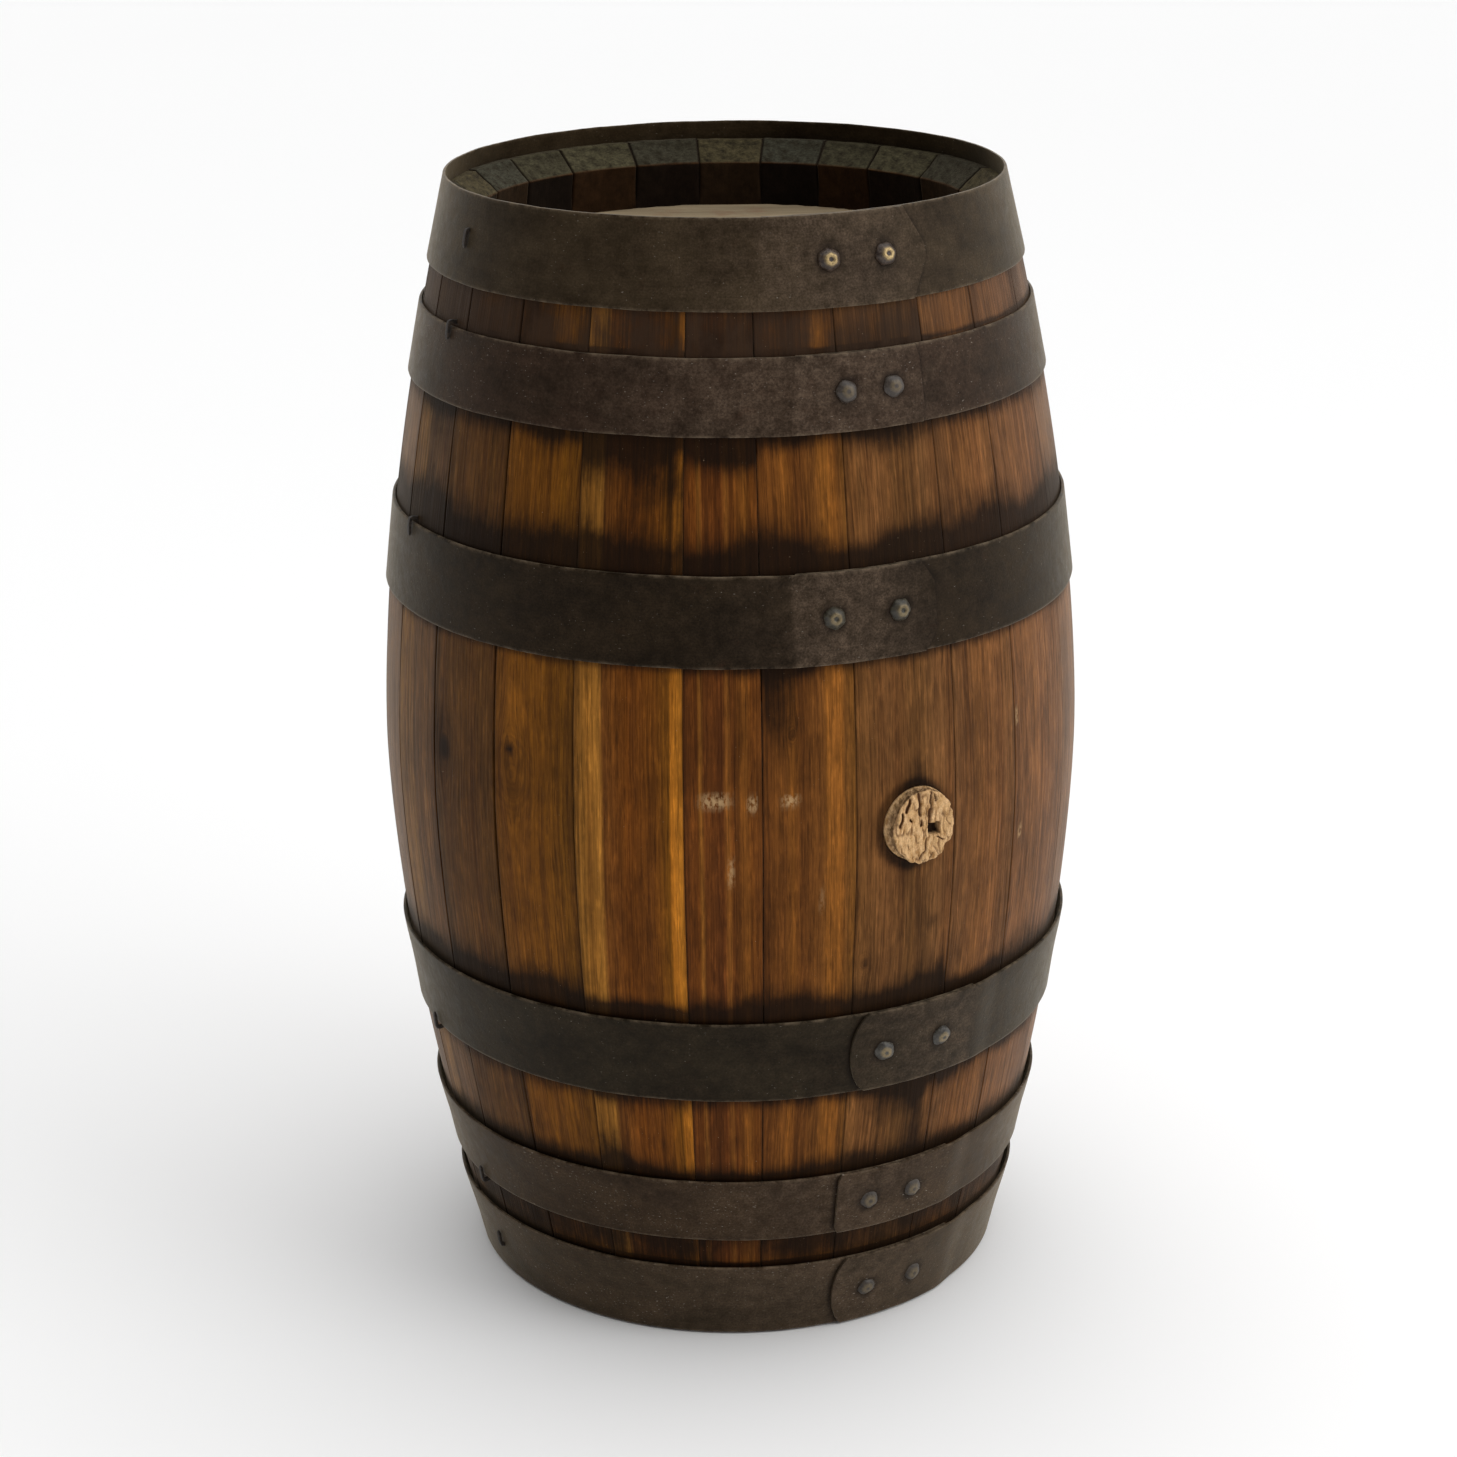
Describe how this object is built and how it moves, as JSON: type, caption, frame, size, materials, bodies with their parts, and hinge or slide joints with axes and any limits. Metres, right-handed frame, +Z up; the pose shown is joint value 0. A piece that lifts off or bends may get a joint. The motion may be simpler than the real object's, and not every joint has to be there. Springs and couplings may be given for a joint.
{
  "type": "oak wine barrel",
  "caption": "Bowed oak barrel standing on end, bound by riveted steel hoops, with boarded heads set down in the chimes and a cork bung in its side.",
  "frame": {"origin": "on the barrel's own axis, on the floor it stands on", "axes": "+Z up along the barrel's axis, -Y out through the centre of the bung hole"},
  "size_m": [0.4674, 0.4761, 0.75],
  "materials": {
    "oak_staves": "varnished, weathered amber brown",
    "oak_heads": "bare, dusty greyish tan",
    "hoop_steel": "dark aged mill steel, satin",
    "rivet_steel": "worn, slightly brassy",
    "nail_iron": "dark oxidised",
    "cork": "dry cork"
  },
  "bodies": {
    "barrel": {"head_bottom_board_1": "oak_heads", "head_bottom_board_2": "oak_heads", "head_bottom_board_3": "oak_heads", "head_bottom_board_4": "oak_heads", "head_bottom_board_5": "oak_heads", "head_top_board_1": "oak_heads", "head_top_board_2": "oak_heads", "head_top_board_3": "oak_heads", "head_top_board_4": "oak_heads", "head_top_board_5": "oak_heads", "hoop_bilge_bottom": "hoop_steel", "hoop_bilge_top": "hoop_steel", "hoop_head_bottom": "hoop_steel", "hoop_head_top": "hoop_steel", "hoop_nail_1": "nail_iron", "hoop_nail_2": "nail_iron", "hoop_nail_3": "nail_iron", "hoop_nail_4": "nail_iron", "hoop_nail_5": "nail_iron", "hoop_nail_6": "nail_iron", "hoop_quarter_bottom": "hoop_steel", "hoop_quarter_top": "hoop_steel", "rivet_bilge_bottom_1": "rivet_steel", "rivet_bilge_bottom_2": "rivet_steel", "rivet_bilge_top_1": "rivet_steel", "rivet_bilge_top_2": "rivet_steel", "rivet_head_bottom_1": "rivet_steel", "rivet_head_bottom_2": "rivet_steel", "rivet_head_top_1": "rivet_steel", "rivet_head_top_2": "rivet_steel", "rivet_quarter_bottom_1": "rivet_steel", "rivet_quarter_bottom_2": "rivet_steel", "rivet_quarter_top_1": "rivet_steel", "rivet_quarter_top_2": "rivet_steel", "stave_02": "oak_staves", "stave_03": "oak_staves", "stave_04": "oak_staves", "stave_05": "oak_staves", "stave_06": "oak_staves", "stave_07": "oak_staves", "stave_08": "oak_staves", "stave_09": "oak_staves", "stave_10": "oak_staves", "stave_11": "oak_staves", "stave_12": "oak_staves", "stave_13": "oak_staves", "stave_14": "oak_staves", "stave_15": "oak_staves", "stave_16": "oak_staves", "stave_17": "oak_staves", "stave_18": "oak_staves", "stave_19": "oak_staves", "stave_20": "oak_staves", "stave_21": "oak_staves", "stave_22": "oak_staves", "stave_23": "oak_staves", "stave_bung": "oak_staves"},
    "bung": {"bung": "cork"}
  },
  "joints": [
    {"name": "bung_pull", "type": "slide", "parent": "barrel", "child": "bung", "axis": [0, -1, 0], "range_m": [0, 0.06]}
  ]
}
